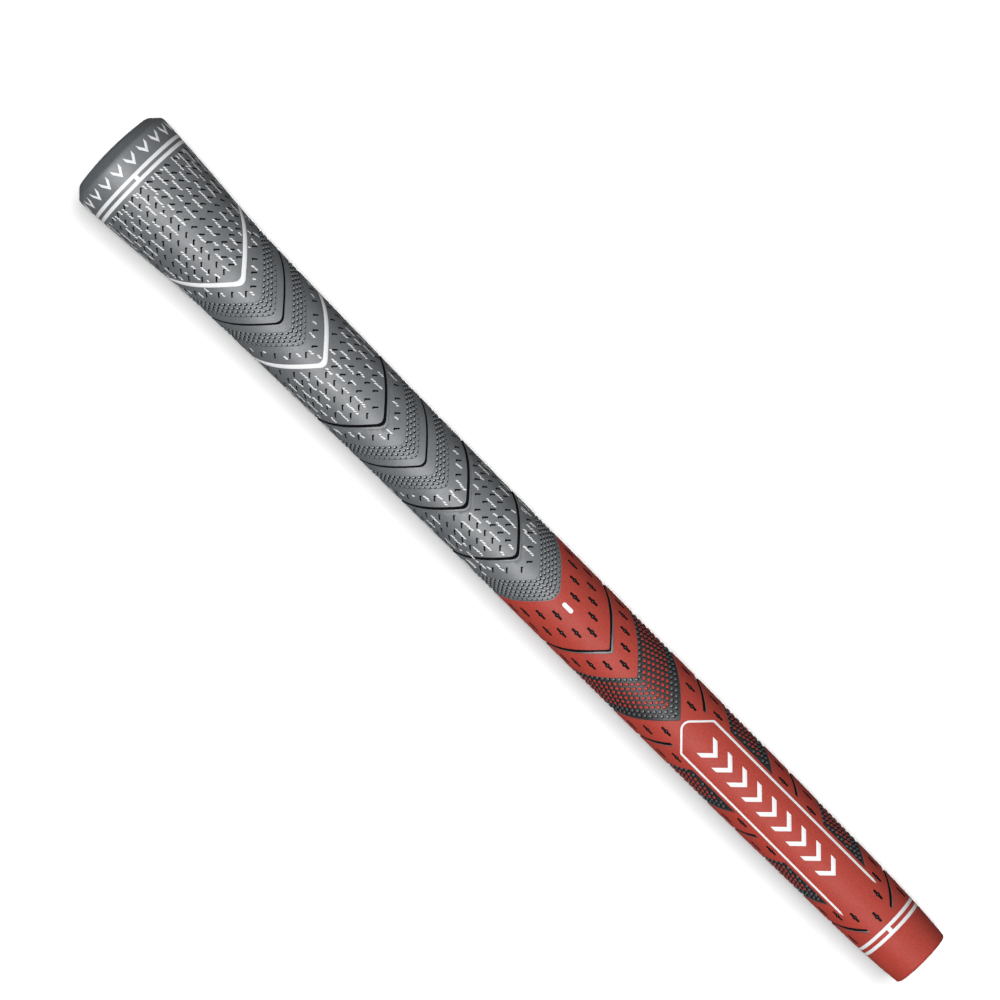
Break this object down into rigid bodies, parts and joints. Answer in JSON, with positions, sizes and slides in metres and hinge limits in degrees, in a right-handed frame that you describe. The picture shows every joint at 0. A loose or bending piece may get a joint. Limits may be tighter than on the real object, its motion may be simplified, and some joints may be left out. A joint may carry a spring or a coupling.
{
  "type": "golf club grip",
  "caption": "Tapered slip-on grip for a golf club shaft: flared closed butt, grey corded upper half and red lower half with a raised chevron pattern and a bore open at the mouth.",
  "frame": {"origin": "centre of the mouth face, on the bore axis", "axes": "+X along the shaft axis out of the mouth, towards the club head; +Z the top line with the alignment mark and badge; +Y completes a right-handed frame"},
  "size_m": [0.27, 0.0278, 0.0278],
  "materials": {
    "cap_rubber": "matte moulded rubber, slightly darker than the sleeve",
    "core_rubber": "plain matte black base rubber",
    "cord_cotton": "undyed cotton cord fabric",
    "grey_rubber": "matte grey rubber with cotton cord at the surface",
    "red_rubber": "satin red rubber",
    "dark_rubber": "satin dark grey rubber",
    "white_paint": "flexible white paint fill, slightly glossy"
  },
  "bodies": {
    "root": {"end_cap": "cap_rubber", "core_sleeve": "core_rubber", "cord_ply": "cord_cotton", "upper_sleeve": "grey_rubber", "lower_sleeve": "red_rubber", "butt_rings": "white_paint", "cap_motif": "white_paint", "white_chevron_1": "white_paint", "white_chevron_2": "white_paint", "dark_chevron_1": "dark_rubber", "dark_chevron_2": "dark_rubber", "dark_chevron_3": "dark_rubber", "dark_chevron_4": "dark_rubber", "mesh_band_1": "dark_rubber", "mesh_band_2": "dark_rubber", "mesh_band_3": "dark_rubber", "alignment_mark": "white_paint", "badge_outline": "white_paint", "badge_motif": "white_paint", "mouth_rings": "white_paint"}
  },
  "joints": []
}
